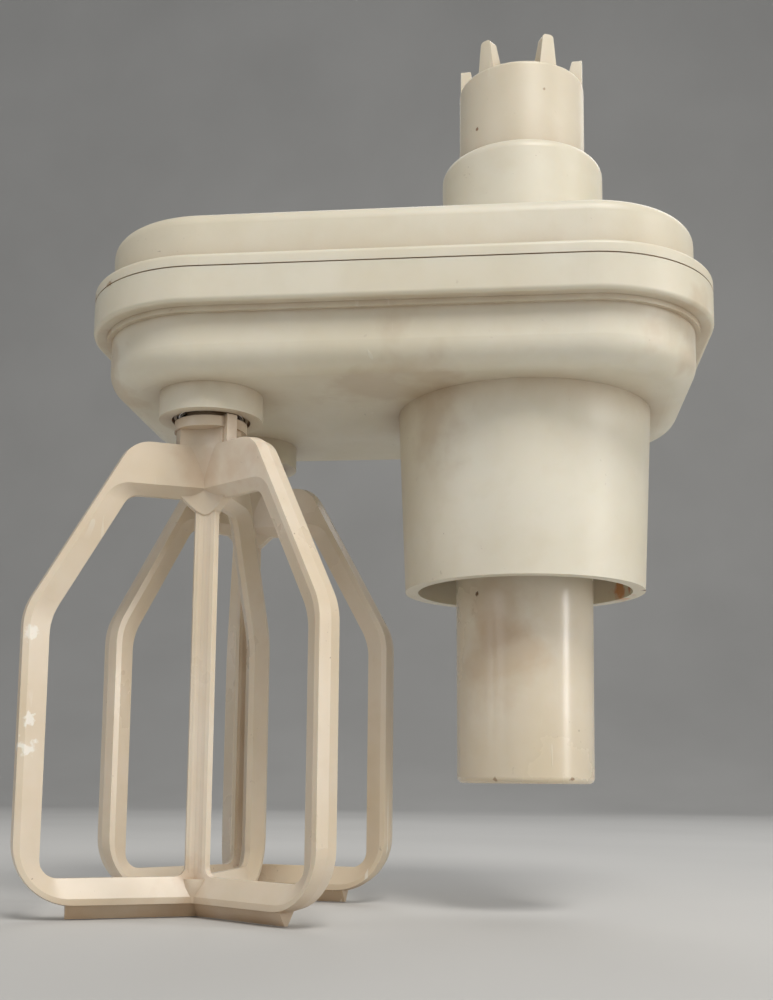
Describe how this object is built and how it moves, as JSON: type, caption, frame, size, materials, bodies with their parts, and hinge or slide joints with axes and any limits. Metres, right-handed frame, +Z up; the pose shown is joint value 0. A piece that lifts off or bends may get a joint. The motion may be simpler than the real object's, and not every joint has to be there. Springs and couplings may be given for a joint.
{
  "type": "twin whisk food processor attachment",
  "caption": "Twin-whisk beating attachment: a gearbox turned by a bowl's spindle, held by a toothed crown, driving intermeshing pull-out whisks.",
  "frame": {"origin": "centre of the drive tube's open lower end, on the drive axis", "axes": "+Z up the drive tube towards the crown, -X towards the two whisks, which stand side by side along Y"},
  "size_m": [0.1319, 0.0935, 0.1809],
  "materials": {
    "shell": "satin ivory moulding",
    "tube": "glossy cream moulding",
    "whisk": "semi-gloss cream moulding",
    "spindle": "satin cream moulding",
    "gear": "natural white engineering plastic",
    "bearing": "dark self-lubricating plastic",
    "insert": "satin moulding",
    "seal": "soft matt",
    "steel": "turned",
    "spring": "drawn wire"
  },
  "bodies": {
    "housing": {"lower_shell": "shell", "upper_shell": "shell", "shell_seal": "seal", "shell_screws": "steel", "drive_bush": "bearing", "drive_seal": "seal", "crown_bush": "bearing", "crown_washer": "steel", "spindle_bushes": "bearing", "spindle_top_bushes": "bearing", "cluster_axle": "steel", "idler_axle": "steel", "cluster_washers": "steel", "idler_clip": "steel"},
    "drive": {"drive_tube": "tube", "drive_pinion": "gear", "coupling_insert": "insert", "drive_clip": "steel"},
    "crown": {"crown_tube": "tube", "crown_gear": "gear"},
    "cluster": {"cluster_sleeve": "gear", "cluster_low_gear": "gear", "cluster_wide_gear": "gear", "cluster_top_gear": "gear"},
    "idler": {"idler_gear": "gear"},
    "spindle_front": {"spindle_front": "spindle", "spindle_gear_front": "gear", "retaining_ring_front": "spring"},
    "spindle_back": {"spindle_back": "spindle", "spindle_gear_back": "gear", "retaining_ring_back": "spring"},
    "whisk_front": {"whisk_front": "whisk"},
    "whisk_back": {"whisk_back": "whisk"}
  },
  "joints": [
    {"name": "drive_spin", "type": "hinge", "parent": "housing", "child": "drive", "pos_m": [0, 0, 0.09], "axis": [0, 0, 1], "continuous": true},
    {"name": "crown_spin", "type": "hinge", "parent": "housing", "child": "crown", "pos_m": [0, 0, 0.098], "axis": [0, 0, 1], "continuous": true},
    {"name": "cluster_spin", "type": "hinge", "parent": "housing", "child": "cluster", "pos_m": [-0.03896, 0.00179, 0.09], "axis": [0, 0, 1], "continuous": true},
    {"name": "idler_spin", "type": "hinge", "parent": "housing", "child": "idler", "pos_m": [-0.0439, -0.02374, 0.083], "axis": [0, 0, 1], "continuous": true},
    {"name": "front_spindle_spin", "type": "hinge", "parent": "housing", "child": "spindle_front", "pos_m": [-0.0623, -0.019, 0.083], "axis": [0, 0, 1], "continuous": true},
    {"name": "back_spindle_spin", "type": "hinge", "parent": "housing", "child": "spindle_back", "pos_m": [-0.0623, 0.019, 0.083], "axis": [0, 0, 1], "continuous": true},
    {"name": "front_whisk_release", "type": "slide", "parent": "spindle_front", "child": "whisk_front", "axis": [0, 0, -1], "range_m": [0, 0.018]},
    {"name": "back_whisk_release", "type": "slide", "parent": "spindle_back", "child": "whisk_back", "axis": [0, 0, -1], "range_m": [0, 0.018]}
  ],
  "couplings": [
    {"joint": "cluster_spin", "follows": "drive_spin", "ratio": -0.85714},
    {"joint": "crown_spin", "follows": "drive_spin", "ratio": 0.29557},
    {"joint": "idler_spin", "follows": "drive_spin", "ratio": 1.9286},
    {"joint": "back_spindle_spin", "follows": "drive_spin", "ratio": 1.4026},
    {"joint": "front_spindle_spin", "follows": "drive_spin", "ratio": -1.4026}
  ]
}
